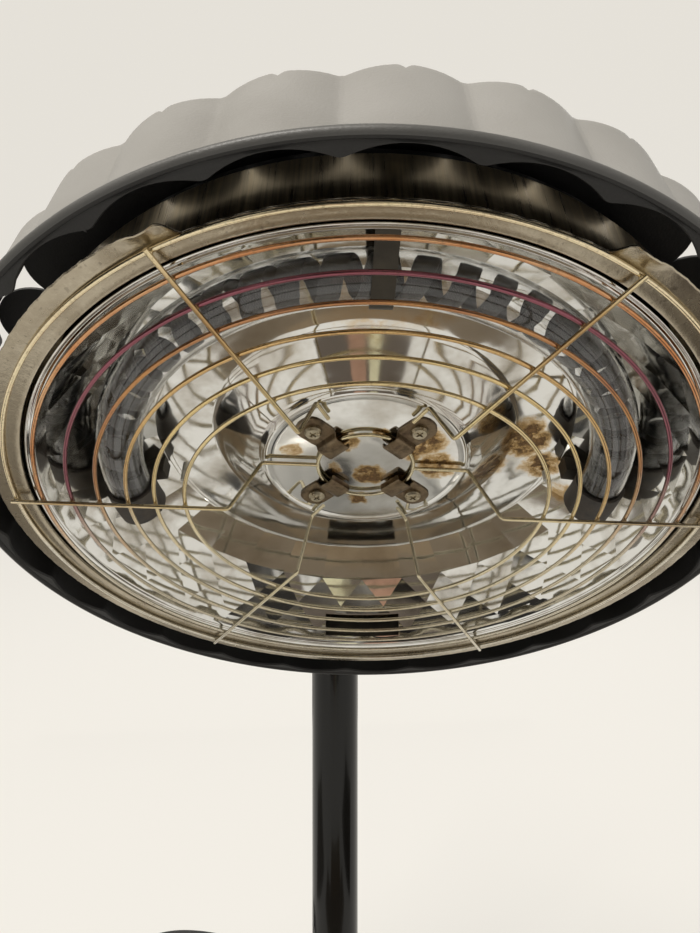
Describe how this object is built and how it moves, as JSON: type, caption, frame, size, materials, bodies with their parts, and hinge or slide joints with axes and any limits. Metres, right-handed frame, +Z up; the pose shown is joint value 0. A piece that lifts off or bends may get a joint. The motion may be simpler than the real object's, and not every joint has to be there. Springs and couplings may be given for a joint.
{
  "type": "outdoor heater",
  "caption": "Lamp-style electric patio heater: fluted round shade, mirror reflector with a quartz tube behind a wire guard, tilting on a straight post with a round weighted base.",
  "frame": {"origin": "centre of the base's underside, on the post's axis", "axes": "+Z up the post, -Y towards the side the head reaches and shines to, +X to the right of someone facing the heater"},
  "size_m": [0.4312, 0.5532, 0.6126],
  "materials": {
    "shade_paint": "matt fine-texture powder coat, black inside",
    "brushed_stainless": "brushed and heat-tinted",
    "trim_stainless": "dull, bronze-tinted by heat",
    "mirror_reflector": "polished and faceted, with brown heat stains",
    "guard_wire": "welded wire, tinted gold to purple by heat",
    "clip_steel": "dark heat-tinted spring steel",
    "screw_steel": "zinc-plated, slightly tinted",
    "quartz": "clear fused quartz",
    "carbon_fibre": "woven carbon ribbon",
    "ceramic": "unglazed ceramic",
    "dark_ceramic": "smoked ceramic and cement",
    "support_steel": "oxidised steel strip",
    "black_paint": "gloss black stove enamel",
    "satin_black_paint": "satin black powder coat",
    "zinc_steel": "bright zinc plate",
    "cast_weight": "as cast, primed",
    "brass": "turned",
    "wire_sleeve": "glass-fibre sleeving",
    "friction_fibre": "fibre washer",
    "knob_plastic": "textured black nylon",
    "switch_plastic": "moulded black",
    "plunger_plastic": "white acetal",
    "pad_rubber": "ribbed non-slip rubber",
    "cord_rubber": "matt rubber sheath",
    "tie_fabric": "hook-and-loop strap",
    "pin_brass": "nickel-plated brass"
  },
  "bodies": {
    "stand": {"post_knuckle": "black_paint", "tilt_bolt": "zinc_steel", "friction_washers": "friction_fibre", "post_tube": "black_paint", "post_socket": "zinc_steel", "socket_screws": "zinc_steel", "post_collar": "black_paint", "base_cover": "brushed_stainless", "base_weight": "cast_weight", "base_pan": "zinc_steel", "non_slip_pad": "pad_rubber", "base_screws": "zinc_steel", "rotary_switch": "switch_plastic", "tip_switch": "switch_plastic", "tip_spring": "zinc_steel", "post_cable": "wire_sleeve", "cord_gland": "cord_rubber", "cord": "cord_rubber", "cord_coil": "cord_rubber", "cord_tie": "tie_fabric", "cord_tail": "cord_rubber", "plug_body": "cord_rubber", "plug_pins": "pin_brass"},
    "head": {"shade": "shade_paint", "shade_brackets": "satin_black_paint", "shade_screws": "screw_steel", "drum": "brushed_stainless", "trim_ring": "trim_stainless", "back_cover": "satin_black_paint", "reflector": "mirror_reflector", "slot_plate": "support_steel", "quartz_tube": "quartz", "carbon_element": "carbon_fibre", "tube_end_caps": "dark_ceramic", "tube_support": "support_steel", "cap_brackets": "support_steel", "guard_rings": "guard_wire", "guard_hub_ring": "guard_wire", "guard_spokes": "guard_wire", "guard_clips": "clip_steel", "clip_screws": "screw_steel", "heat_shield": "zinc_steel", "standoffs": "zinc_steel", "cover_screws": "screw_steel", "terminal_block": "ceramic", "thermal_cutout": "ceramic", "lead_wires": "wire_sleeve", "tilt_arm": "black_paint", "arm_screws": "zinc_steel"},
    "tilt_knob": {"tilt_knob": "knob_plastic", "knob_insert": "brass"},
    "control_knob": {"control_knob": "knob_plastic"},
    "tip_plunger": {"tip_plunger": "plunger_plastic"}
  },
  "joints": [
    {"name": "head_tilt", "type": "hinge", "parent": "stand", "child": "head", "pos_m": [0.019, 0, 0.5375], "axis": [-1, 0, 0], "range_deg": [0, 45]},
    {"name": "tilt_knob_turn", "type": "hinge", "parent": "stand", "child": "tilt_knob", "pos_m": [0.045, 0, 0.5375], "axis": [1, 0, 0], "range_deg": [0, 270]},
    {"name": "control_knob_turn", "type": "hinge", "parent": "stand", "child": "control_knob", "pos_m": [0, -0.072, 0.034], "axis": [0, 0, -1], "range_deg": [0, 180]},
    {"name": "tip_plunger_slide", "type": "slide", "parent": "stand", "child": "tip_plunger", "axis": [0, 0, -1], "range_m": [0, 0.004], "stiffness_N_per_m": 150, "springref_m": 0.006, "deforming": ["tip_spring"]}
  ]
}
